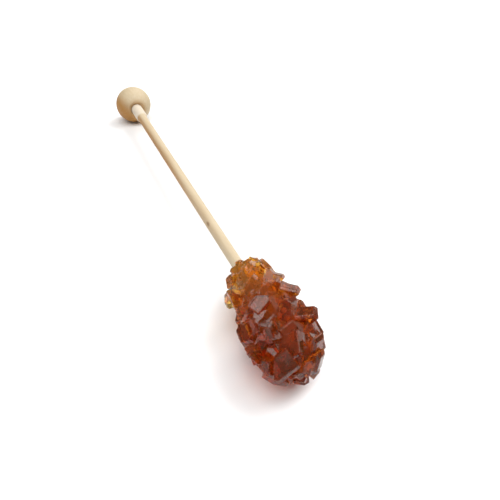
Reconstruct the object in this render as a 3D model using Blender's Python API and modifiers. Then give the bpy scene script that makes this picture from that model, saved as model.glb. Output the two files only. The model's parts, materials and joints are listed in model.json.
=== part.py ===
"""Rock candy stick lying on a table.

A round wooden stick carries a turned wooden ball on its butt and a head of grown sugar crystals
on its other end. The stick's axis is built along +X, from the centre of the ball, and is then
laid down so that the ball and the lowest crystals rest on flat spots at height zero.
"""

import math
import random

import bmesh
import bpy
from mathutils import Matrix, Vector

MM = 0.001

# ball: a bead with two small flat ends, drilled from the end that faces the candy
BALL_DIAMETER = 13.0 * MM
BALL_LENGTH = 0.88 * BALL_DIAMETER
BALL_ARC_POINTS = 15
BALL_SIDES = 40
BORE_DEPTH = 7.0 * MM

# stick: a rod with a thicker butt, in and near the ball
BUTT_DIAMETER = 4.0 * MM
BUTT_LENGTH = 7.0 * MM
SHOULDER_LENGTH = 2.0 * MM
STICK_DIAMETER_AT_BALL = 3.1 * MM
STICK_DIAMETER_AT_CANDY = 2.95 * MM
STICK_CHAMFER = 0.3 * MM
STICK_SIDES = 28

# stations along the stick, from the centre of the ball
CANDY_START = 109.8 * MM
CANDY_LENGTH = 34.9 * MM
STICK_DEPTH_IN_CANDY = 25.0 * MM

# how it lies: heights of the stick's axis at the ball and at the widest part of the candy
REST_FLAT_SAG = 0.06 * MM
AXIS_HEIGHT_AT_BALL = BALL_DIAMETER / 2 - REST_FLAT_SAG
AXIS_HEIGHT_AT_CANDY = 8.0 * MM
WIDEST_STATION = 22.2 * MM
AXIS_TILT = math.atan((AXIS_HEIGHT_AT_CANDY - AXIS_HEIGHT_AT_BALL) / (CANDY_START + WIDEST_STATION))

CLEARANCE = 0.3 * MM

# candy: radius over the crystals' tips behind its rounded start and where it is widest
BODY_START_RADIUS = 5.4 * MM
WIDEST_RADIUS = 8.6 * MM
START_ROUNDING = 4.0 * MM
START_SHARE = 0.5
END_ROUNDNESS = 2.1
START_OFFSET = Vector((0.0, 0.5 * MM, 0.1 * MM))   # the candy grew a little askew on its stick
END_OFFSET = Vector((0.0, -0.7 * MM, 0.0))
CORE_SIDES = 18
CORE_STATIONS = (0.015, 0.1, 0.22, 0.36, 0.5, 0.64, 0.76, 0.86, 0.93)   # shares of the candy's length
CORE_SHARE_OF_CRYSTAL = 0.4

# crystals: mean size where the candy starts and where it is widest, in a spiral of seeded blocks
CRYSTAL_SIZE_AT_START = 2.5 * MM
CRYSTAL_SIZE_AT_END = 4.0 * MM
CRYSTAL_COUNT = 250
CRYSTAL_SEED = 3
CLEAR_OF_LARGE = 0.42   # share of a large crystal's length that the others stay away from its middle
SUGAR_OBLIQUENESS = math.radians(13)
SUGAR_ROOF = math.radians(40)
ROOF_HEIGHT = 0.46   # share of a crystal's length from its middle to its ridge
LARGE_TRIM = 0.16
LARGE_RIDGE = 0.2
GOLDEN_ANGLE = math.radians(137.508)
PROFILE_STEPS = 240

# large crystals with places of their own. Station, length, width and thickness are in millimetres.
# Around is the angle from the top towards -Y, lean is from the outward normal, and heading is where
# it leans: 0 towards the tip of the candy, 90 onwards around it.
LARGE_CRYSTALS = (
    # station, around, length, width, thickness, lean, heading, twist, proud
    (6.7, -20, 3.5, 2.5, 2.5, 65, 220, 165, 1.1),
    (5.2, 65, 3.5, 2.0, 2.0, 65, 115, 295, 1.0),
    (11.7, -12, 3.5, 3.0, 2.0, 55, 210, 200, 1.2),
    (12.2, 65, 4.0, 3.5, 3.0, 5, 25, 75, 1.9),
    (13.2, -28, 2.5, 2.0, 2.0, 80, 45, 185, 0.9),
    (15.7, -12, 3.0, 2.0, 2.0, 25, 235, 170, 0.9),
    (18.2, -30, 4.5, 3.0, 2.5, 75, 45, 195, 1.1),
    (19.2, 25, 4.5, 3.0, 2.5, 80, 105, 295, 1.0),
    (21.2, 72, 4.0, 2.5, 2.5, 70, 140, 300, 1.2),
    (24.2, -5, 7.0, 3.0, 3.5, 30, 170, 225, 2.0),
    (25.7, -35, 5.0, 3.0, 3.0, 45, 65, 190, 1.4),
    (26.7, 35, 4.0, 2.0, 2.5, 45, 150, 260, 1.0),
    (27.2, 80, 5.0, 3.5, 3.0, 15, 190, 270, 1.4),
    (30.2, 85, 3.5, 2.0, 2.5, 80, 280, 60, 0.6),
    (31.2, 13, 4.5, 4.0, 4.5, 10, 105, 325, 0.3),
    (31.7, -40, 4.5, 2.5, 3.5, 55, 215, 180, 0.8),
    (32.6, 62, 5.6, 4.3, 4.0, 69, 248, 88, 2.1),
    (33.7, -52, 4.0, 2.5, 3.0, 70, 220, 195, 1.0),
    (9.6, 76, 4.0, 3.5, 3.0, 60, 80, 355, 1.4),
    (34.4, -30, 3.5, 2.0, 2.5, 75, 190, 215, 0.7),
    (31.2, 112, 5.0, 4.0, 3.5, 80, 185, 260, 0.2),
    (18.2, 150, 6.0, 4.5, 4.0, 80, 60, 10, 0.9),
    (21.2, 205, 6.0, 4.5, 4.0, 80, 130, 20, 0.9),
)


def clear_scene():
    for obj in list(bpy.data.objects):
        bpy.data.objects.remove(obj, do_unlink=True)


def new_collection(name):
    made = bpy.data.collections.new(name)
    bpy.context.scene.collection.children.link(made)
    return made


def new_material(name, colour, roughness):
    made = bpy.data.materials.new(name)
    made.use_nodes = True
    shader = made.node_tree.nodes["Principled BSDF"]
    shader.inputs["Base Color"].default_value = (*colour, 1.0)
    shader.inputs["Roughness"].default_value = roughness
    shader.inputs["Metallic"].default_value = 0.0
    return made


def new_object(name, bm, collection):
    mesh = bpy.data.meshes.new(name)
    bm.to_mesh(mesh)
    bm.free()
    made = bpy.data.objects.new(name, mesh)
    collection.objects.link(made)
    return made


def hide(helper):
    helper.hide_render = True
    helper.display_type = "WIRE"


def cut_with(obj, name, cutter):
    made = obj.modifiers.new(name, "BOOLEAN")
    made.operation = "DIFFERENCE"
    made.object = cutter


def turned_along_x(name, profile, sides, collection):
    """Turns a profile of (station, radius) points, listed from the far end back to the near end."""
    mesh = bpy.data.meshes.new(name)
    points = [(radius, 0.0, station) for station, radius in profile]
    mesh.from_pydata(points, [(k, k + 1) for k in range(len(points) - 1)], [])
    made = bpy.data.objects.new(name, mesh)
    collection.objects.link(made)
    screw = made.modifiers.new("turn", "SCREW")
    screw.steps = sides
    screw.render_steps = sides
    screw.use_merge_vertices = True
    screw.merge_threshold = 1e-6
    screw.use_smooth_shade = True
    made.rotation_euler = (0.0, math.radians(90), 0.0)
    return made


# ---------------------------------------------------------------- ball and stick


def build_ball(collection):
    radius = BALL_DIAMETER / 2
    flat_angle = math.acos(BALL_LENGTH / BALL_DIAMETER)
    bore_radius = BUTT_DIAMETER / 2 + CLEARANCE
    front = BALL_LENGTH / 2
    outside = []
    for k in range(BALL_ARC_POINTS):
        angle = flat_angle + (math.pi - 2 * flat_angle) * k / (BALL_ARC_POINTS - 1)
        outside.append((radius * math.cos(angle), radius * math.sin(angle)))
    bore = [(front - BORE_DEPTH, 0.0), (front - BORE_DEPTH, bore_radius), (front, bore_radius)]
    back = [(-front, 0.0)]
    return turned_along_x("ball", bore + outside + back, BALL_SIDES, collection)


def stick_radius(station):
    share = station / CANDY_START
    return (STICK_DIAMETER_AT_BALL + (STICK_DIAMETER_AT_CANDY - STICK_DIAMETER_AT_BALL) * share) / 2


def build_stick(collection):
    near = BALL_LENGTH / 2 - BORE_DEPTH + CLEARANCE
    butt_end = BALL_LENGTH / 2 + BUTT_LENGTH
    shoulder_end = butt_end + SHOULDER_LENGTH
    far = CANDY_START + STICK_DEPTH_IN_CANDY
    butt_radius = BUTT_DIAMETER / 2
    profile = [
        (far, 0.0),
        (far, stick_radius(far) - STICK_CHAMFER),
        (far - STICK_CHAMFER, stick_radius(far)),
        (shoulder_end, stick_radius(shoulder_end)),
        (butt_end, butt_radius),
        (near + STICK_CHAMFER, butt_radius),
        (near, butt_radius - STICK_CHAMFER),
        (near, 0.0),
    ]
    return turned_along_x("stick", profile, STICK_SIDES, collection)


# ---------------------------------------------------------------- candy


def eased(share):
    share = min(max(share, 0.0), 1.0)
    return share * share * (3 - 2 * share)


def tip_radius(station):
    """Radius over the crystals' tips at a station from the candy's start."""
    body = BODY_START_RADIUS + (WIDEST_RADIUS - BODY_START_RADIUS) * eased(station / WIDEST_STATION)
    before = max(0.0, 1 - station / START_ROUNDING)
    start = START_SHARE + (1 - START_SHARE) * math.sqrt(1 - min(before, 1.0) ** 2)
    past = max(0.0, (station - WIDEST_STATION) / (CANDY_LENGTH - WIDEST_STATION))
    end = (1 - min(past, 1.0) ** END_ROUNDNESS) ** (1 / END_ROUNDNESS)
    return body * start * end


def offset_at(station):
    return START_OFFSET.lerp(END_OFFSET, eased(station / CANDY_LENGTH))


def crystal_size(station):
    share = eased(station / WIDEST_STATION)
    return CRYSTAL_SIZE_AT_START + (CRYSTAL_SIZE_AT_END - CRYSTAL_SIZE_AT_START) * share


def surface_frame(station, around):
    """Point on the outline over the crystals' tips, with its outward normal and the way to the tip."""
    step = 0.2 * MM
    short_of_tip = 0.01 * MM
    low = max(station - step, 0.0)
    high = min(station + step, CANDY_LENGTH - short_of_tip)
    slope = (tip_radius(high) - tip_radius(low)) / (high - low)
    ray = Vector((0.0, -math.sin(around), math.cos(around)))
    normal = (ray - Vector((slope, 0.0, 0.0))).normalized()
    onward = Vector((0.0, -math.cos(around), -math.sin(around)))
    forward = onward.cross(normal)
    if forward.x < 0:
        forward.negate()
    point = Vector((station, 0.0, 0.0)) + offset_at(station) + ray * tip_radius(station)
    return point, normal, forward


def slice_off(bm, at, normal):
    """Cuts a convex block by a plane and closes it, keeping what is behind the plane."""
    everything = bm.verts[:] + bm.edges[:] + bm.faces[:]
    cut = bmesh.ops.bisect_plane(bm, geom=everything, plane_co=at, plane_no=normal, clear_outer=True)
    rim = [item for item in cut["geom_cut"] if isinstance(item, bmesh.types.BMEdge)]
    bmesh.ops.contextual_create(bm, geom=rim)


def crystal_block(length, width, thickness, trim, ridge):
    """A sugar crystal on its long axis Z: an oblique block, two long edges trimmed, the outer end a roof.

    Trim is how much of its breadth an edge loses, and ridge is where the roof's ridge lies across it.
    """
    bm = bmesh.new()
    bmesh.ops.create_cube(bm, size=1.0)
    scale = Matrix.Diagonal((width, thickness, length, 1.0))
    oblique = Matrix.Shear("YZ", 4, (math.tan(SUGAR_OBLIQUENESS), 0.0))
    bmesh.ops.transform(bm, matrix=oblique @ scale, verts=bm.verts)
    if trim:
        sharp = Vector((width / 2, thickness / 2 + width / 2 * math.tan(SUGAR_OBLIQUENESS), 0.0))
        outward = Vector((1.0, 1.0, 0.0)).normalized()
        for side in (1, -1):
            slice_off(bm, (sharp - outward * trim * (width + thickness) / 2) * side, outward * side)
    if ridge is not None:
        top = Vector((ridge * width, 0.0, ROOF_HEIGHT * length))
        for side in (1, -1):
            slice_off(bm, top, Vector((side * math.sin(SUGAR_ROOF), 0.0, math.cos(SUGAR_ROOF))))
    bmesh.ops.recalc_face_normals(bm, faces=bm.faces)
    return bm


def seat(bm, station, around, lean, heading, twist, proud):
    """Leans a block off the surface and slides it in until its outermost corner is proud by that much."""
    point, normal, forward = surface_frame(station, around)
    onward = normal.cross(forward)
    basis = Matrix((forward, onward, normal)).transposed().to_4x4()
    turn = Matrix.Rotation(heading, 4, "Z") @ Matrix.Rotation(lean, 4, "Y") @ Matrix.Rotation(twist, 4, "Z")
    bmesh.ops.transform(bm, matrix=basis @ turn, verts=bm.verts)
    reach = max(vert.co.dot(normal) for vert in bm.verts)
    bmesh.ops.translate(bm, verts=bm.verts, vec=point + normal * (proud - reach))
    middle = sum((vert.co for vert in bm.verts), Vector()) / len(bm.verts)
    return middle


def spiral_stations(count):
    """Stations that give each crystal about the same share of its own size's surface."""
    step = CANDY_LENGTH / PROFILE_STEPS
    short_of_tip = 1e-6
    filled = [0.0]
    for k in range(PROFILE_STEPS):
        station = step * (k + 0.5)
        rise = tip_radius(station + step / 2 - short_of_tip) - tip_radius(station - step / 2)
        area = tip_radius(station) * math.hypot(step, rise)
        filled.append(filled[-1] + area / crystal_size(station) ** 2)
    stations = []
    k = 0
    for number in range(count):
        wanted = filled[-1] * (number + 0.5) / count
        while filled[k + 1] < wanted:
            k += 1
        stations.append(step * (k + (wanted - filled[k]) / (filled[k + 1] - filled[k])))
    return stations


def build_crystals(collection):
    draw = random.Random(CRYSTAL_SEED)
    placed = []
    for row in LARGE_CRYSTALS:
        station, around, length, width, thickness, lean, heading, twist, proud = row
        bm = crystal_block(length * MM, width * MM, thickness * MM, LARGE_TRIM, LARGE_RIDGE)
        angles = (math.radians(value) for value in (around, lean, heading, twist))
        around, lean, heading, twist = angles
        middle = seat(bm, station * MM, around, lean, heading, twist, proud * MM)
        placed.append((middle, length * MM))
        hide(new_object(f"large_crystal.{len(placed):03d}", bm, collection))
    for number, station in enumerate(spiral_stations(CRYSTAL_COUNT)):
        around = number * GOLDEN_ANGLE + draw.uniform(-0.25, 0.25)
        size = crystal_size(station) * draw.uniform(0.72, 1.22)
        length = size * draw.uniform(1.0, 1.35)
        width = size * draw.uniform(0.75, 1.0)
        thickness = size * draw.uniform(0.55, 0.85)
        lean = math.radians(draw.uniform(5, 85))
        heading = draw.uniform(0, 2 * math.pi)
        twist = draw.uniform(0, 2 * math.pi)
        trim = draw.choice((0.0, 0.12, 0.22))
        ridge = draw.choice((None, -0.15, 0.0, 0.25))
        proud = size * draw.uniform(-0.28, -0.02)
        bm = crystal_block(length, width, thickness, trim, ridge)
        middle = seat(bm, station, around, lean, heading, twist, proud)
        if any((middle - other).length < CLEAR_OF_LARGE * reach for other, reach in placed):
            bm.free()
            continue
        hide(new_object(f"crystal.{number:03d}", bm, collection))


def build_core(collection):
    """The grown-together sugar under the crystals, from the candy's start to near its tip."""
    bm = bmesh.new()
    rings = []
    for share in CORE_STATIONS:
        station = CANDY_LENGTH * share
        radius = tip_radius(station) - CORE_SHARE_OF_CRYSTAL * crystal_size(station)
        ring = []
        for k in range(CORE_SIDES):
            angle = 2 * math.pi * k / CORE_SIDES
            spoke = Vector((station, radius * math.cos(angle), radius * math.sin(angle)))
            ring.append(bm.verts.new(spoke + offset_at(station)))
        rings.append(ring)
    for ring, following in zip(rings, rings[1:]):
        for k in range(CORE_SIDES):
            after = (k + 1) % CORE_SIDES
            bm.faces.new((ring[k], ring[after], following[after], following[k]))
    bm.faces.new(rings[0])
    bm.faces.new(rings[-1])
    bmesh.ops.recalc_face_normals(bm, faces=bm.faces)
    return new_object("candy", bm, collection)


def build_candy(collection, cutters, crystals):
    candy = build_core(collection)
    build_crystals(crystals)
    grown = candy.modifiers.new("crystals", "BOOLEAN")
    grown.operation = "UNION"
    grown.operand_type = "COLLECTION"
    grown.collection = crystals
    far = STICK_DEPTH_IN_CANDY + CLEARANCE
    bore_radius = stick_radius(CANDY_START + STICK_DEPTH_IN_CANDY) + CLEARANCE
    past_start = 8.0 * MM
    profile = [(far, 0.0), (far, bore_radius), (-past_start, bore_radius), (-past_start, 0.0)]
    bore = turned_along_x("candy_bore", profile, STICK_SIDES, cutters)
    hide(bore)
    cut_with(candy, "bore", bore)
    return candy, bore


# ---------------------------------------------------------------- lying on the table


def table_cutter(collection):
    """Everything below height zero, which leaves the flat spots that the stick rests on."""
    bm = bmesh.new()
    bmesh.ops.create_cube(bm, size=1.0)
    length = 400.0 * MM
    width = 100.0 * MM
    depth = 20.0 * MM
    size = Matrix.Diagonal((length, width, depth, 1.0))
    bmesh.ops.transform(bm, matrix=Matrix.Translation((0, 0, -depth / 2)) @ size, verts=bm.verts)
    table = new_object("table", bm, collection)
    hide(table)
    return table


def centre_over_origin(parts, holder):
    """Moves the holder so that the middle of all parts' box is over the origin."""
    bpy.context.view_layer.update()
    graph = bpy.context.evaluated_depsgraph_get()
    corners = []
    for obj in parts.objects:
        evaluated = obj.evaluated_get(graph)
        corners += [evaluated.matrix_world @ Vector(corner) for corner in evaluated.bound_box]
    for axis in (0, 1):
        values = [corner[axis] for corner in corners]
        holder.location[axis] -= (max(values) + min(values)) / 2


def main():
    clear_scene()
    parts = new_collection("rock_candy_stick")
    cutters = new_collection("cutters")
    crystals = new_collection("crystals")
    pale_wood = new_material("pale_wood", (0.76, 0.60, 0.40), 0.6)
    amber_sugar = new_material("amber_sugar", (0.30, 0.09, 0.03), 0.15)

    ball = build_ball(parts)
    stick = build_stick(parts)
    candy, bore = build_candy(parts, cutters, crystals)
    table = table_cutter(cutters)
    cut_with(ball, "resting_spot", table)
    cut_with(candy, "resting_spots", table)
    ball.data.materials.append(pale_wood)
    stick.data.materials.append(pale_wood)
    candy.data.materials.append(amber_sugar)

    laid = bpy.data.objects.new("laid_down", None)
    cutters.objects.link(laid)
    laid.location = (0.0, 0.0, AXIS_HEIGHT_AT_BALL)
    laid.rotation_euler = (0.0, -AXIS_TILT, 0.0)
    for obj in (ball, stick, candy, bore, *crystals.objects):
        obj.parent = laid
    candy.location = (CANDY_START, 0.0, 0.0)
    bore.location = (CANDY_START, 0.0, 0.0)
    for crystal in crystals.objects:
        crystal.location = (CANDY_START, 0.0, 0.0)
    centre_over_origin(parts, laid)


main()
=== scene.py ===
"""Finish of a rock candy stick that lies on a pale table.

The wooden ball and stick are turned again with finer profiles and a bare birch finish. The candy is
grown again as clear amber crystals with softened edges, in the same places as in the solid candy.
Everything is modelled along +X from the centre of the ball and then laid down as the solids lie.
"""

import json
import math
import random

import bmesh
import bpy
from mathutils import Matrix, Vector

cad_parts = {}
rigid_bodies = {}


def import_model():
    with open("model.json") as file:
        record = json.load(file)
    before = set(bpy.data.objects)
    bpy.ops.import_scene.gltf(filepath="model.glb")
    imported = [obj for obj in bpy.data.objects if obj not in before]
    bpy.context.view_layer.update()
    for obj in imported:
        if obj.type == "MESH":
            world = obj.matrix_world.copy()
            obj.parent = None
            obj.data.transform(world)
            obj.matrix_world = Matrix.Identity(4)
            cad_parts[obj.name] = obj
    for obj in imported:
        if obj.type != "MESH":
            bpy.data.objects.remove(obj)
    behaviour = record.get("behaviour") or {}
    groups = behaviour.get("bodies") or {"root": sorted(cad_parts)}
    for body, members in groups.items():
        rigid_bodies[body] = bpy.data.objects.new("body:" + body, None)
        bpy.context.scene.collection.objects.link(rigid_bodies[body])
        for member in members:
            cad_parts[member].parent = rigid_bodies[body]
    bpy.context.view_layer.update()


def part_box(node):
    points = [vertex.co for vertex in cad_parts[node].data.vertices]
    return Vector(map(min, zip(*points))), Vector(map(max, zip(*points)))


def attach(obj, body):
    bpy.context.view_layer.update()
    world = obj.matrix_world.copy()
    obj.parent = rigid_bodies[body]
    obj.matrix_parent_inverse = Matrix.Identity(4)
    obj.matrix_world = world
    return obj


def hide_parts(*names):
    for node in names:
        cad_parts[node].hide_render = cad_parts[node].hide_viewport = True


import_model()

MM = 0.001

# ---------------------------------------------------------------- sizes, as the solids are built

BALL_DIAMETER = 13.0 * MM
BALL_LENGTH = 0.88 * BALL_DIAMETER
BUTT_DIAMETER = 4.0 * MM
BUTT_LENGTH = 7.0 * MM
SHOULDER_LENGTH = 2.0 * MM
STICK_DIAMETER_AT_BALL = 3.1 * MM
STICK_DIAMETER_AT_CANDY = 2.95 * MM

CANDY_START = 109.8 * MM
CANDY_LENGTH = 34.9 * MM
STICK_DEPTH_IN_CANDY = 25.0 * MM

BALL_FLAT_DEPTH = 0.06 * MM
AXIS_HEIGHT_AT_BALL = BALL_DIAMETER / 2 - BALL_FLAT_DEPTH
AXIS_HEIGHT_AT_CANDY = 8.0 * MM
WIDEST_STATION = 22.2 * MM
AXIS_TILT = math.atan((AXIS_HEIGHT_AT_CANDY - AXIS_HEIGHT_AT_BALL) / (CANDY_START + WIDEST_STATION))

BODY_START_RADIUS = 5.4 * MM
WIDEST_RADIUS = 8.6 * MM
START_ROUNDING = 4.0 * MM
START_SHARE = 0.5
END_ROUNDNESS = 2.1
START_OFFSET = Vector((0.0, 0.5 * MM, 0.1 * MM))
END_OFFSET = Vector((0.0, -0.7 * MM, 0.0))
CORE_SIDES = 18
CORE_SHARE_OF_CRYSTAL = 0.4
CORE_STATIONS = (0.015, 0.1, 0.22, 0.36, 0.5, 0.64, 0.76, 0.86, 0.93)

CRYSTAL_SIZE_AT_START = 2.5 * MM
CRYSTAL_SIZE_AT_END = 4.0 * MM
CRYSTAL_COUNT = 250
CRYSTAL_SEED = 3
CLEAR_OF_LARGE = 0.42
LARGE_TRIM = 0.16
LARGE_RIDGE = 0.2
SUGAR_OBLIQUENESS = math.radians(13)
SUGAR_ROOF = math.radians(40)
GOLDEN_ANGLE = math.radians(137.508)
ROOF_HEIGHT = 0.46
PROFILE_STEPS = 240

LARGE_CRYSTALS = (
    # station, around, length, width, thickness, lean, heading, twist, proud (mm and degrees)
    (6.7, -20, 3.5, 2.5, 2.5, 65, 220, 165, 1.1),
    (5.2, 65, 3.5, 2.0, 2.0, 65, 115, 295, 1.0),
    (11.7, -12, 3.5, 3.0, 2.0, 55, 210, 200, 1.2),
    (12.2, 65, 4.0, 3.5, 3.0, 5, 25, 75, 1.9),
    (13.2, -28, 2.5, 2.0, 2.0, 80, 45, 185, 0.9),
    (15.7, -12, 3.0, 2.0, 2.0, 25, 235, 170, 0.9),
    (18.2, -30, 4.5, 3.0, 2.5, 75, 45, 195, 1.1),
    (19.2, 25, 4.5, 3.0, 2.5, 80, 105, 295, 1.0),
    (21.2, 72, 4.0, 2.5, 2.5, 70, 140, 300, 1.2),
    (24.2, -5, 7.0, 3.0, 3.5, 30, 170, 225, 2.0),
    (25.7, -35, 5.0, 3.0, 3.0, 45, 65, 190, 1.4),
    (26.7, 35, 4.0, 2.0, 2.5, 45, 150, 260, 1.0),
    (27.2, 80, 5.0, 3.5, 3.0, 15, 190, 270, 1.4),
    (30.2, 85, 3.5, 2.0, 2.5, 80, 280, 60, 0.6),
    (31.2, 13, 4.5, 4.0, 4.5, 10, 105, 325, 0.3),
    (31.7, -40, 4.5, 2.5, 3.5, 55, 215, 180, 0.8),
    (32.6, 62, 5.6, 4.3, 4.0, 69, 248, 88, 2.1),
    (33.7, -52, 4.0, 2.5, 3.0, 70, 220, 195, 1.0),
    (9.6, 76, 4.0, 3.5, 3.0, 60, 80, 355, 1.4),
    (34.4, -30, 3.5, 2.0, 2.5, 75, 190, 215, 0.7),
    (31.2, 112, 5.0, 4.0, 3.5, 80, 185, 260, 0.2),
    (18.2, 150, 6.0, 4.5, 4.0, 80, 60, 10, 0.9),
    (21.2, 205, 6.0, 4.5, 4.0, 80, 130, 20, 0.9),
)

# what the finer candy adds
EDGE_ROUNDING = 0.15 * MM
EDGE_SHARE_OF_CRYSTAL = 0.06
TABLE_GAP = 0.02 * MM

# what the finer wood adds
BALL_SIDES = 96
STICK_SIDES = 48
BALL_PROFILE_POINTS = 44
STICK_PROFILE_POINTS = 40
HOLE_CLEARANCE = 0.04 * MM
HOLE_DEPTH = 6.0 * MM
STICK_DEPTH_IN_BALL = 5.5 * MM
BUTT_CHAMFER = 0.2 * MM
TIP_CHAMFER = 0.3 * MM

# the birch: pale, with painted shade browning its lower side, away from the light, towards the ball, and
# paler at the butt
BIRCH_LIGHT = (0.6, 0.49, 0.33, 1.0)
BIRCH_DARK = (0.53, 0.4, 0.245, 1.0)
BALL_LIGHT = (0.58, 0.47, 0.31, 1.0)
BALL_DARK = (0.5, 0.385, 0.23, 1.0)
BUTT_PALE = (0.66, 0.57, 0.45, 1.0)
# painted shade: the brown laid on the wood's lower side, away from the light, and how far it reaches
PAINTED_SHADE_BROWN = (0.37, 0.155, 0.012, 1.0)
PAINTED_SHADE_SHARE = 0.9
SHADE_STARTS_STATION = 0.95 * CANDY_START
SHADE_FULL_STATION = 50.0 * MM
SHOULDER_STATION = BALL_LENGTH / 2 + BUTT_LENGTH + 0.8 * SHOULDER_LENGTH
SHADE_FROM = -0.8 * MM
BALL_SHADE_TO = 4.0 * MM
STICK_SHADE_TO = 1.3 * MM
# painted shade in a ring round where the stick enters the ball
ENTRY_SHADE_RADIUS = 4.6 * MM
ENTRY_SHADE_SHARE = 0.6
KNOT_BROWN = (0.2, 0.09, 0.03, 1.0)
KNOT_PLACE = (89.5 * MM, -1.25 * MM, 0.95 * MM)
KNOT_CORE = 0.2 * MM
KNOT_EDGE = 0.65 * MM
GRAIN_ALONG, GRAIN_ACROSS = 60.0, 1400.0
CLOUD_ALONG, CLOUD_ACROSS = 40.0, 160.0
TURNING_ALONG, TURNING_ACROSS = 3200.0, 30.0
TURNING_STRENGTH = 0.25

# the sugar: golden by the stick, brown at the tip, with one pale crystal and frosted patches
GOLDEN_SUGAR = (0.87, 0.56, 0.09, 1.0)
BROWN_SUGAR = (0.61, 0.215, 0.042, 1.0)
GOLDEN_UNTIL = 2.0 * MM
BROWN_BEYOND = 24.0 * MM
TONE_SCALE = 160.0
TONE_DRIFT = 16.0 * MM
PALE_SUGAR = (0.99, 0.85, 0.36, 1.0)
PALE_STATION = 9.6 * MM
PALE_AROUND = math.radians(70)
PALE_HEIGHT = 0.3 * MM
PALE_REACH = 4.4 * MM
SUGAR_IOR = 1.34
SUGAR_CLEARNESS = 0.94
SUGAR_COAT = 0.25
CLEAR_ROUGHNESS = 0.1
FROSTED_ROUGHNESS = 0.3
FROST_SCALE = 330.0
WAVE_SCALE = 700.0
DEPTH_TINT = (0.833, 0.53, 0.0, 1.0)
DEPTH_DENSITY = 320.0

# the studio: soft boxes by azimuth and height in degrees, with their strengths, in a dim room
ROOM_LIGHT = 0.2
SOFT_BOXES = ((90, 55, 8.0), (0, 80, 5.0), (135, 30, 2.5), (310, 58, 4.4), (225, 35, 0.6))
BOX_EDGE = 0.925
BOX_FULL = 0.995
WHITE = (1.0, 1.0, 1.0, 1.0)

# the table and the camera, whose place is from the centre of the ball
TABLE_RADIUS = 3.0
TABLE_LIGHT = (0.92, 0.92, 0.92, 1.0)
TABLE_DARK = (0.9, 0.9, 0.9, 1.0)
CAMERA_PLACE = Vector((0.2049, -0.0376, 0.0853))
CAMERA_BEARING = math.radians(157.28)
CAMERA_PITCH = math.radians(37.33)
CAMERA_LENS = 40.28
SENSOR_WIDTH = 36.0

ball_low, ball_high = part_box("ball")
BALL_CENTRE = Vector((
    (ball_low.x + ball_high.x) / 2,
    (ball_low.y + ball_high.y) / 2,
    AXIS_HEIGHT_AT_BALL,
))
LAID_DOWN = Matrix.Translation(BALL_CENTRE) @ Matrix.Rotation(-AXIS_TILT, 4, "Y")


# ---------------------------------------------------------------- shader tools


class Socket:
    """An output of a node that can be used in sums: each operator adds a Math node after it."""

    def __init__(self, finish, output):
        self.finish = finish
        self.output = output

    def maths(self, operation, first, second):
        return self.finish.node("Math", {"operation": operation}, {0: first, 1: second})

    def __add__(self, other):
        return self.maths("ADD", self, other)

    def __radd__(self, other):
        return self.maths("ADD", other, self)

    def __sub__(self, other):
        return self.maths("SUBTRACT", self, other)

    def __rsub__(self, other):
        return self.maths("SUBTRACT", other, self)

    def __mul__(self, other):
        return self.maths("MULTIPLY", self, other)

    def __rmul__(self, other):
        return self.maths("MULTIPLY", other, self)


class Finish:
    """A node tree with one method that adds any node, and short forms of the commonest ones."""

    def __init__(self, tree):
        self.tree = tree
        tree.nodes.clear()

    def node(self, kind, settings=None, sockets=None, output=0):
        """Adds a node: its settings first, then the values or links of its sockets."""
        made = self.tree.nodes.new("ShaderNode" + kind)
        for name, value in (settings or {}).items():
            setattr(made, name, value)
        for key, value in (sockets or {}).items():
            if isinstance(value, Socket):
                self.tree.links.new(value.output, made.inputs[key])
            else:
                made.inputs[key].default_value = value
        return Socket(self, made.outputs[output]) if made.outputs else made

    def mix(self, factor, first, second):
        """Blends two colours: sockets 6 and 7 take them, and output 2 gives the blend."""
        return self.node("Mix", {"data_type": "RGBA"}, {0: factor, 6: first, 7: second}, 2)

    def place(self):
        return self.node("TexCoord", output="Object")

    def scaled(self, vector, *scale):
        return self.node("VectorMath", {"operation": "MULTIPLY"}, {0: vector, 1: scale})

    def stretched_noise(self, vector, along, across, detail, roughness=0.5):
        """Noise with one scale along the stick and another across it."""
        return self.noise(self.scaled(vector, along, across, across), 1.0, detail, roughness)

    def noise(self, vector, scale, detail=2.0, roughness=0.5):
        sockets = {"Vector": vector, "Scale": scale, "Detail": detail, "Roughness": roughness}
        return self.node("TexNoise", None, sockets)

    def distance_from(self, vector, place, *stretch):
        """How far a place is, with each axis stretched by its own number."""
        offset = self.node("VectorMath", {"operation": "SUBTRACT"}, {0: vector, 1: tuple(place)})
        return self.node("VectorMath", {"operation": "LENGTH"}, {0: self.scaled(offset, *stretch)}, "Value")

    def spread(self, value, low, high, to_low=0.0, to_high=1.0):
        """Stretches values between low and high to another range, with the rest held at its ends."""
        return self.node("MapRange", {"interpolation_type": "SMOOTHSTEP"}, {
            "Value": value,
            "From Min": low,
            "From Max": high,
            "To Min": to_low,
            "To Max": to_high,
        })

    def bump(self, height, strength, distance):
        return self.node("Bump", None, {"Height": height, "Strength": strength, "Distance": distance})


def new_finish(name):
    material = bpy.data.materials.new(name)
    material.use_nodes = True
    return material, Finish(material.node_tree)


# ---------------------------------------------------------------- wood


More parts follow.
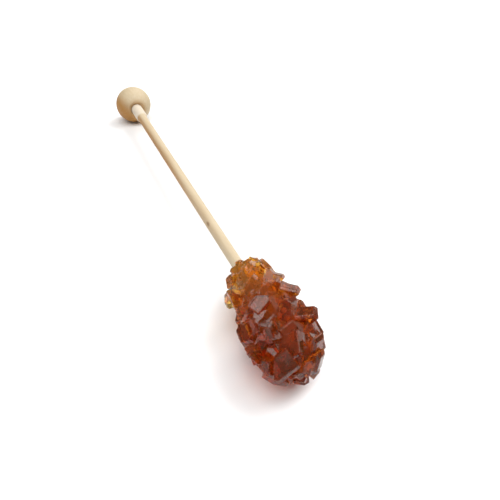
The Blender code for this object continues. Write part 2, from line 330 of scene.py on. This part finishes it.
def wood_finish(name, light, dark, shade_to, is_ball):
    """Bare birch with grain along the stick, and painted shade that browns its lower side, away from the
    light, and fades out towards the candy.
    """
    material, finish = new_finish(name)
    at = finish.place()
    along = finish.node("SeparateXYZ", None, {"Vector": at})
    across = Socket(finish, along.output.node.outputs["Y"])
    height = Socket(finish, along.output.node.outputs["Z"])
    grain = finish.stretched_noise(at, GRAIN_ALONG, GRAIN_ACROSS, 4.0, 0.6)
    cloud = finish.stretched_noise(at, CLOUD_ALONG, CLOUD_ACROSS, 2.0)
    grain_tone = finish.spread(grain, 0.35, 0.68) * 0.4 + finish.spread(cloud, 0.35, 0.65) * 0.6
    pale = finish.mix(grain_tone, light, dark)

    station = along - BALL_CENTRE.x
    aside = BALL_CENTRE.y - across
    below = AXIS_HEIGHT_AT_BALL + station * math.tan(AXIS_TILT) - height
    # painted shade: brown on the lower side, away from the light, full by the ball and gone before the candy
    shaded_side = finish.spread(aside * 0.8 + below * 0.6, SHADE_FROM, shade_to)
    painted_shade = shaded_side * finish.spread(station, SHADE_STARTS_STATION, SHADE_FULL_STATION) * PAINTED_SHADE_SHARE
    if is_ball:
        # painted shade in a ring round the stick's hole, joined to the shaded side
        from_axis = finish.node("Math", {"operation": "SQRT"}, {0: aside * aside + below * below})
        entry_shade = finish.spread(from_axis, ENTRY_SHADE_RADIUS, BUTT_DIAMETER / 2)
        painted_shade = finish.node("Math", {"operation": "MAXIMUM"}, {0: painted_shade, 1: entry_shade * ENTRY_SHADE_SHARE})
    else:
        # the butt is paler all round and gets no painted shade
        past_butt = finish.spread(station, SHOULDER_STATION - 1 * MM, SHOULDER_STATION)
        painted_shade = painted_shade * past_butt
        pale = finish.mix(past_butt, BUTT_PALE, pale)
    # the wood is mixed towards brown where shade is painted
    shaded = finish.mix(painted_shade, pale, PAINTED_SHADE_BROWN)

    from_knot = finish.distance_from(at, LAID_DOWN @ Vector(KNOT_PLACE), 0.45, 1.0, 1.0)
    knot = finish.spread(from_knot + (grain - 0.5) * 0.6 * MM, KNOT_EDGE, KNOT_CORE)
    colour = finish.mix(knot * 0.7, shaded, KNOT_BROWN)

    turning = finish.stretched_noise(at, TURNING_ALONG, TURNING_ACROSS, 2.0)
    shader = finish.node("BsdfPrincipled", None, {
        "Base Color": colour,
        "Roughness": finish.spread(grain, 0.3, 0.7, 0.5, 0.68),
        "Normal": finish.bump(grain * 0.7 + turning * TURNING_STRENGTH, 0.3, 0.05 * MM),
    })
    finish.node("OutputMaterial", None, {"Surface": shader})
    return material


# ---------------------------------------------------------------- sugar


def amber_finish():
    """Amber sugar: glassy with a slight haze, golden near the stick and deep reddish brown at the tip."""
    material, finish = new_finish("amber_sugar")
    at = finish.place()
    station = finish.node("SeparateXYZ", None, {"Vector": at}) - (BALL_CENTRE.x + CANDY_START)
    drift = (finish.noise(at, TONE_SCALE) - 0.5) * TONE_DRIFT
    deep = finish.spread(station + drift, GOLDEN_UNTIL, BROWN_BEYOND)
    tone = finish.mix(deep, GOLDEN_SUGAR, BROWN_SUGAR)

    point, outward, _ = surface_frame(PALE_STATION, PALE_AROUND)
    pale_place = LAID_DOWN @ (Vector((CANDY_START, 0.0, 0.0)) + point + outward * PALE_HEIGHT)
    from_pale = finish.distance_from(at, pale_place, 1.0, 1.0, 1.0)
    paleness = finish.spread(from_pale, PALE_REACH, 0.6 * PALE_REACH)

    frost = finish.spread(finish.noise(at, FROST_SCALE), 0.42, 0.62, CLEAR_ROUGHNESS, FROSTED_ROUGHNESS)
    shader = finish.node("BsdfPrincipled", None, {
        "Base Color": finish.mix(paleness, tone, PALE_SUGAR),
        "Roughness": frost,
        "IOR": SUGAR_IOR,
        "Transmission Weight": SUGAR_CLEARNESS,
        "Coat Weight": SUGAR_COAT,
        "Coat Roughness": 0.03,
        "Normal": finish.bump(finish.noise(at, WAVE_SCALE), 0.08, 0.12 * MM),
    })
    depth = finish.node("VolumeAbsorption", None, {"Color": DEPTH_TINT, "Density": DEPTH_DENSITY})
    finish.node("OutputMaterial", None, {"Surface": shader, "Volume": depth})
    return material


# ---------------------------------------------------------------- making and laying down


def new_object(name, bm, material):
    mesh = bpy.data.meshes.new(name)
    bm.to_mesh(mesh)
    bm.free()
    made = bpy.data.objects.new(name, mesh)
    bpy.context.scene.collection.objects.link(made)
    if material:
        mesh.materials.append(material)
    return made


def lay_down(bm):
    bmesh.ops.transform(bm, matrix=LAID_DOWN, verts=bm.verts)


def apply_modifiers(obj):
    """Replaces an object's mesh by what its modifiers make of it, and drops the modifiers."""
    graph = bpy.context.evaluated_depsgraph_get()
    made = bpy.data.meshes.new_from_object(obj.evaluated_get(graph))
    old = obj.data
    obj.modifiers.clear()
    obj.data = made
    bpy.data.meshes.remove(old)


def combine(obj, operation, other=None, collection=None):
    modifier = obj.modifiers.new(operation.lower(), "BOOLEAN")
    modifier.operation = operation
    modifier.solver = "MANIFOLD"
    if collection:
        modifier.operand_type = "COLLECTION"
        modifier.collection = collection
    else:
        modifier.object = other


def turned(name, profile, sides, material):
    """Turns a profile of (station, radius) points about the stick's axis, closed at both ends."""
    bm = bmesh.new()
    rings = []
    for station, radius in profile:
        if radius == 0.0:
            rings.append([bm.verts.new((station, 0.0, 0.0))])
            continue
        ring = []
        for k in range(sides):
            angle = 2 * math.pi * k / sides
            ring.append(bm.verts.new((station, radius * math.cos(angle), radius * math.sin(angle))))
        rings.append(ring)
    for ring, following in zip(rings, rings[1:]):
        for k in range(sides):
            after = (k + 1) % sides
            corners = [ring[k % len(ring)], ring[after % len(ring)]]
            corners += [following[after % len(following)], following[k % len(following)]]
            bm.faces.new(list(dict.fromkeys(corners)))
    bmesh.ops.recalc_face_normals(bm, faces=bm.faces)
    lay_down(bm)
    made = new_object(name, bm, material)
    made.data.shade_smooth()
    made.data.set_sharp_from_angle(angle=math.radians(32))
    return made


# ---------------------------------------------------------------- ball and stick


def eased(share):
    share = min(max(share, 0.0), 1.0)
    return share * share * (3 - 2 * share)


def build_ball(material):
    """A bead with two flat ends, drilled from the stick's side, whose outline is one turned profile."""
    radius = BALL_DIAMETER / 2 - BALL_FLAT_DEPTH
    half = BALL_LENGTH / 2
    flat_angle = math.acos(half / (BALL_DIAMETER / 2))
    hole = BUTT_DIAMETER / 2 + HOLE_CLEARANCE
    bottom = half - HOLE_DEPTH
    profile = [(bottom, 0.0), (bottom, hole), (half - 0.5 * MM, hole), (half - 0.15 * MM, hole + 0.1 * MM)]
    for k in range(BALL_PROFILE_POINTS + 1):
        angle = flat_angle + (math.pi - 2 * flat_angle) * k / BALL_PROFILE_POINTS
        profile.append((radius * math.cos(angle), radius * math.sin(angle)))
    profile.append((-half + 0.05 * MM, 0.0))
    return turned("turned_ball", profile, BALL_SIDES, material)


def stick_radius(station):
    share = station / CANDY_START
    return (STICK_DIAMETER_AT_BALL + (STICK_DIAMETER_AT_CANDY - STICK_DIAMETER_AT_BALL) * share) / 2


def build_stick(material):
    """The rod from its butt inside the ball, over the shoulder, to its end inside the candy."""
    near = BALL_LENGTH / 2 - STICK_DEPTH_IN_BALL
    butt_end = BALL_LENGTH / 2 + BUTT_LENGTH
    shoulder_end = butt_end + SHOULDER_LENGTH
    far = CANDY_START + STICK_DEPTH_IN_CANDY
    butt = BUTT_DIAMETER / 2
    profile = [(near, 0.0), (near, butt - BUTT_CHAMFER), (near + BUTT_CHAMFER, butt)]
    profile.append((butt_end - 0.5 * MM, butt))
    shoulder_points = 6
    for k in range(shoulder_points + 1):
        share = k / shoulder_points
        station = butt_end + SHOULDER_LENGTH * share
        profile.append((station, butt + (stick_radius(shoulder_end) - butt) * eased(share)))
    for k in range(1, STICK_PROFILE_POINTS + 1):
        station = shoulder_end + (far - TIP_CHAMFER - shoulder_end) * k / STICK_PROFILE_POINTS
        profile.append((station, stick_radius(station)))
    profile += [(far, stick_radius(far) - TIP_CHAMFER), (far, 0.0)]
    return turned("birch_stick", profile, STICK_SIDES, material)


# ---------------------------------------------------------------- candy


def tip_radius(station):
    """Radius over the crystals' tips at a station from the candy's start."""
    body = BODY_START_RADIUS + (WIDEST_RADIUS - BODY_START_RADIUS) * eased(station / WIDEST_STATION)
    before = max(0.0, 1 - station / START_ROUNDING)
    start = START_SHARE + (1 - START_SHARE) * math.sqrt(1 - min(before, 1.0) ** 2)
    past = max(0.0, (station - WIDEST_STATION) / (CANDY_LENGTH - WIDEST_STATION))
    end = (1 - min(past, 1.0) ** END_ROUNDNESS) ** (1 / END_ROUNDNESS)
    return body * start * end


def offset_at(station):
    return START_OFFSET.lerp(END_OFFSET, eased(station / CANDY_LENGTH))


def crystal_size(station):
    share = eased(station / WIDEST_STATION)
    return CRYSTAL_SIZE_AT_START + (CRYSTAL_SIZE_AT_END - CRYSTAL_SIZE_AT_START) * share


def surface_frame(station, around):
    """Point on the outline over the crystals' tips, with its outward normal and the way to the tip."""
    step = 0.2 * MM
    low = max(station - step, 0.0)
    high = min(station + step, CANDY_LENGTH - 0.01 * MM)
    slope = (tip_radius(high) - tip_radius(low)) / (high - low)
    ray = Vector((0.0, -math.sin(around), math.cos(around)))
    normal = (ray - Vector((slope, 0.0, 0.0))).normalized()
    onward = Vector((0.0, -math.cos(around), -math.sin(around)))
    forward = onward.cross(normal)
    if forward.x < 0:
        forward.negate()
    point = Vector((station, 0.0, 0.0)) + offset_at(station) + ray * tip_radius(station)
    return point, normal, forward


def slice_off(bm, at, normal):
    """Cuts a convex block by a plane and closes it, keeping what is behind the plane."""
    everything = bm.verts[:] + bm.edges[:] + bm.faces[:]
    cut = bmesh.ops.bisect_plane(bm, geom=everything, plane_co=at, plane_no=normal, clear_outer=True)
    rim = [item for item in cut["geom_cut"] if isinstance(item, bmesh.types.BMEdge)]
    bmesh.ops.contextual_create(bm, geom=rim)


def crystal_block(length, width, thickness, trim, ridge):
    """A sugar crystal on its long axis Z: an oblique block, two long edges trimmed, the outer end a roof."""
    bm = bmesh.new()
    bmesh.ops.create_cube(bm, size=1.0)
    scale = Matrix.Diagonal((width, thickness, length, 1.0))
    oblique = Matrix.Shear("YZ", 4, (math.tan(SUGAR_OBLIQUENESS), 0.0))
    bmesh.ops.transform(bm, matrix=oblique @ scale, verts=bm.verts)
    if trim:
        sharp = Vector((width / 2, thickness / 2 + width / 2 * math.tan(SUGAR_OBLIQUENESS), 0.0))
        outward = Vector((1.0, 1.0, 0.0)).normalized()
        cut = sharp - outward * trim * (width + thickness) / 2
        for side in (1, -1):
            slice_off(bm, cut * side, outward * side)
    if ridge is not None:
        top = Vector((ridge * width, 0.0, ROOF_HEIGHT * length))
        for side in (1, -1):
            slice_off(bm, top, Vector((side * math.sin(SUGAR_ROOF), 0.0, math.cos(SUGAR_ROOF))))
    bmesh.ops.recalc_face_normals(bm, faces=bm.faces)
    return bm


def seat(bm, station, around, lean, heading, twist, proud):
    """Leans a block off the surface and slides it in until its outermost corner is proud by that much.

    Returns the middle of the block.
    """
    point, normal, forward = surface_frame(station, around)
    onward = normal.cross(forward)
    basis = Matrix((forward, onward, normal)).transposed().to_4x4()
    turn = Matrix.Rotation(heading, 4, "Z") @ Matrix.Rotation(lean, 4, "Y")
    turn = turn @ Matrix.Rotation(twist, 4, "Z")
    bmesh.ops.transform(bm, matrix=basis @ turn, verts=bm.verts)
    reach = max(vert.co.dot(normal) for vert in bm.verts)
    bmesh.ops.translate(bm, verts=bm.verts, vec=point + normal * (proud - reach))
    return sum((vert.co for vert in bm.verts), Vector()) / len(bm.verts)


def spiral_stations(count):
    """Stations that give each crystal about the same share of its own size's surface."""
    step = CANDY_LENGTH / PROFILE_STEPS
    filled = [0.0]
    for k in range(PROFILE_STEPS):
        station = step * (k + 0.5)
        rise = tip_radius(station + step / 2 - 1e-6) - tip_radius(station - step / 2)
        area = tip_radius(station) * math.hypot(step, rise)
        filled.append(filled[-1] + area / crystal_size(station) ** 2)
    stations = []
    k = 0
    for number in range(count):
        wanted = filled[-1] * (number + 0.5) / count
        while filled[k + 1] < wanted:
            k += 1
        stations.append(step * (k + (wanted - filled[k]) / (filled[k + 1] - filled[k])))
    return stations


def round_edges(bm, amount):
    """Takes the sharpness off a crystal's edges, as its own growth and handling do."""
    bmesh.ops.bevel(
        bm, geom=bm.edges[:], offset=amount, offset_type="OFFSET", segments=2, profile=0.5,
        affect="EDGES", clamp_overlap=True,
    )


def grow_crystals(collection):
    """Grows all crystals, each a block of its own in the collection: the large ones first."""
    draw = random.Random(CRYSTAL_SEED)
    placed = []
    for row in LARGE_CRYSTALS:
        station, around, length, width, thickness, lean, heading, twist, proud = row
        bm = crystal_block(length * MM, width * MM, thickness * MM, LARGE_TRIM, LARGE_RIDGE)
        round_edges(bm, EDGE_ROUNDING)
        around, lean, heading, twist = (math.radians(angle) for angle in (around, lean, heading, twist))
        middle = seat(bm, station * MM, around, lean, heading, twist, proud * MM)
        placed.append((middle, length * MM))
        add_crystal(bm, collection)
    for number, station in enumerate(spiral_stations(CRYSTAL_COUNT)):
        around = number * GOLDEN_ANGLE + draw.uniform(-0.25, 0.25)
        size = crystal_size(station) * draw.uniform(0.72, 1.22)
        length = size * draw.uniform(1.0, 1.35)
        width = size * draw.uniform(0.75, 1.0)
        thickness = size * draw.uniform(0.55, 0.85)
        lean = math.radians(draw.uniform(5, 85))
        heading = draw.uniform(0, 2 * math.pi)
        twist = draw.uniform(0, 2 * math.pi)
        trim = draw.choice((0.0, 0.12, 0.22))
        ridge = draw.choice((None, -0.15, 0.0, 0.25))
        proud = size * draw.uniform(-0.28, -0.02)
        bm = crystal_block(length, width, thickness, trim, ridge)
        round_edges(bm, min(EDGE_ROUNDING, EDGE_SHARE_OF_CRYSTAL * size))
        middle = seat(bm, station, around, lean, heading, twist, proud)
        if any((middle - other).length < CLEAR_OF_LARGE * reach for other, reach in placed):
            bm.free()
            continue
        add_crystal(bm, collection)


def add_crystal(bm, collection):
    bmesh.ops.translate(bm, verts=bm.verts, vec=(CANDY_START, 0.0, 0.0))
    lay_down(bm)
    mesh = bpy.data.meshes.new("crystal")
    bm.to_mesh(mesh)
    bm.free()
    collection.objects.link(bpy.data.objects.new("crystal", mesh))


def build_core(material):
    """The grown-together sugar under the crystals, from the candy's start to near its tip."""
    bm = bmesh.new()
    rings = []
    for share in CORE_STATIONS:
        station = CANDY_LENGTH * share
        radius = tip_radius(station) - CORE_SHARE_OF_CRYSTAL * crystal_size(station)
        ring = []
        for k in range(CORE_SIDES):
            angle = 2 * math.pi * k / CORE_SIDES
            spoke = Vector((station, radius * math.cos(angle), radius * math.sin(angle)))
            ring.append(bm.verts.new(spoke + offset_at(station)))
        rings.append(ring)
    for ring, following in zip(rings, rings[1:]):
        for k in range(CORE_SIDES):
            after = (k + 1) % CORE_SIDES
            bm.faces.new((ring[k], ring[after], following[after], following[k]))
    bm.faces.new(rings[0])
    bm.faces.new(rings[-1])
    bmesh.ops.recalc_face_normals(bm, faces=bm.faces)
    bmesh.ops.translate(bm, verts=bm.verts, vec=(CANDY_START, 0.0, 0.0))
    lay_down(bm)
    return new_object("amber_crystals", bm, material)


def table_slab():
    """Everything under the table's top, which trims the crystals that rest on it."""
    bm = bmesh.new()
    bmesh.ops.create_cube(bm, size=1.0)
    depth = 20.0 * MM
    size = Matrix.Diagonal((400.0 * MM, 100.0 * MM, depth, 1.0))
    bmesh.ops.transform(bm, matrix=Matrix.Translation((0, 0, TABLE_GAP - depth / 2)) @ size, verts=bm.verts)
    return new_object("slab", bm, None)


def build_candy(material):
    """The core and all the crystals made one body, which is cut off where it rests on the table."""
    candy = build_core(material)
    crystals = bpy.data.collections.new("crystals")
    bpy.context.scene.collection.children.link(crystals)
    grow_crystals(crystals)
    combine(candy, "UNION", collection=crystals)
    slab = table_slab()
    combine(candy, "DIFFERENCE", other=slab)
    apply_modifiers(candy)
    for obj in [*crystals.objects, slab]:
        bpy.data.objects.remove(obj, do_unlink=True)
    bpy.data.collections.remove(crystals)
    return candy


# ---------------------------------------------------------------- table, light and camera


def build_table():
    bm = bmesh.new()
    bmesh.ops.create_circle(bm, cap_ends=True, radius=TABLE_RADIUS, segments=96)
    material, finish = new_finish("pale_table")
    mottle = finish.noise(finish.place(), 30.0, 3.0, 0.6)
    shader = finish.node("BsdfPrincipled", None, {
        "Base Color": finish.mix(mottle, TABLE_DARK, TABLE_LIGHT),
        "Roughness": 0.6,
        "Specular IOR Level": 0.2,
    })
    finish.node("OutputMaterial", None, {"Surface": shader})
    table = new_object("table_top", bm, material)


def set_light():
    """A white studio: a dim room with round soft boxes, most of them behind, to the right and overhead."""
    world = bpy.data.worlds.new("studio")
    world.use_nodes = True
    bpy.context.scene.world = world
    finish = Finish(world.node_tree)
    way = finish.node("TexCoord", output="Generated")
    strength = ROOM_LIGHT
    for azimuth, height, power in SOFT_BOXES:
        turn, rise = math.radians(azimuth), math.radians(height)
        box = (math.cos(rise) * math.cos(turn), math.cos(rise) * math.sin(turn), math.sin(rise))
        nearness = finish.node("VectorMath", {"operation": "DOT_PRODUCT"}, {0: way, 1: box}, "Value")
        strength = finish.spread(nearness, BOX_EDGE, BOX_FULL) * power + strength
    background = finish.node("Background", None, {"Color": WHITE, "Strength": strength})
    finish.node("OutputWorld", None, {"Surface": background})


def set_camera():
    """A camera beyond the candy's tip that looks back along the stick and down at it."""
    camera = bpy.data.cameras.new("camera")
    camera.sensor_width = SENSOR_WIDTH
    camera.lens = CAMERA_LENS
    camera.clip_start = 5 * MM
    holder = bpy.data.objects.new("camera", camera)
    bpy.context.scene.collection.objects.link(holder)
    forward = Vector((
        math.cos(CAMERA_BEARING) * math.cos(CAMERA_PITCH),
        math.sin(CAMERA_BEARING) * math.cos(CAMERA_PITCH),
        -math.sin(CAMERA_PITCH),
    ))
    holder.location = BALL_CENTRE + CAMERA_PLACE
    holder.rotation_euler = forward.to_track_quat("-Z", "Y").to_euler()
    bpy.context.scene.camera = holder


# ---------------------------------------------------------------- everything in its place

set_camera()
set_light()
build_table()

wood = wood_finish("birch", BIRCH_LIGHT, BIRCH_DARK, STICK_SHADE_TO, False)
turned_wood = wood_finish("turned_birch", BALL_LIGHT, BALL_DARK, BALL_SHADE_TO, True)

ball = build_ball(turned_wood)
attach(ball, "root")
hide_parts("ball")

stick = build_stick(wood)
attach(stick, "root")
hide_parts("stick")

candy = build_candy(amber_finish())
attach(candy, "root")
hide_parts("candy")

scene = bpy.context.scene
scene.view_settings.view_transform = "Standard"
scene.cycles.max_bounces = 16
scene.cycles.transmission_bounces = 14
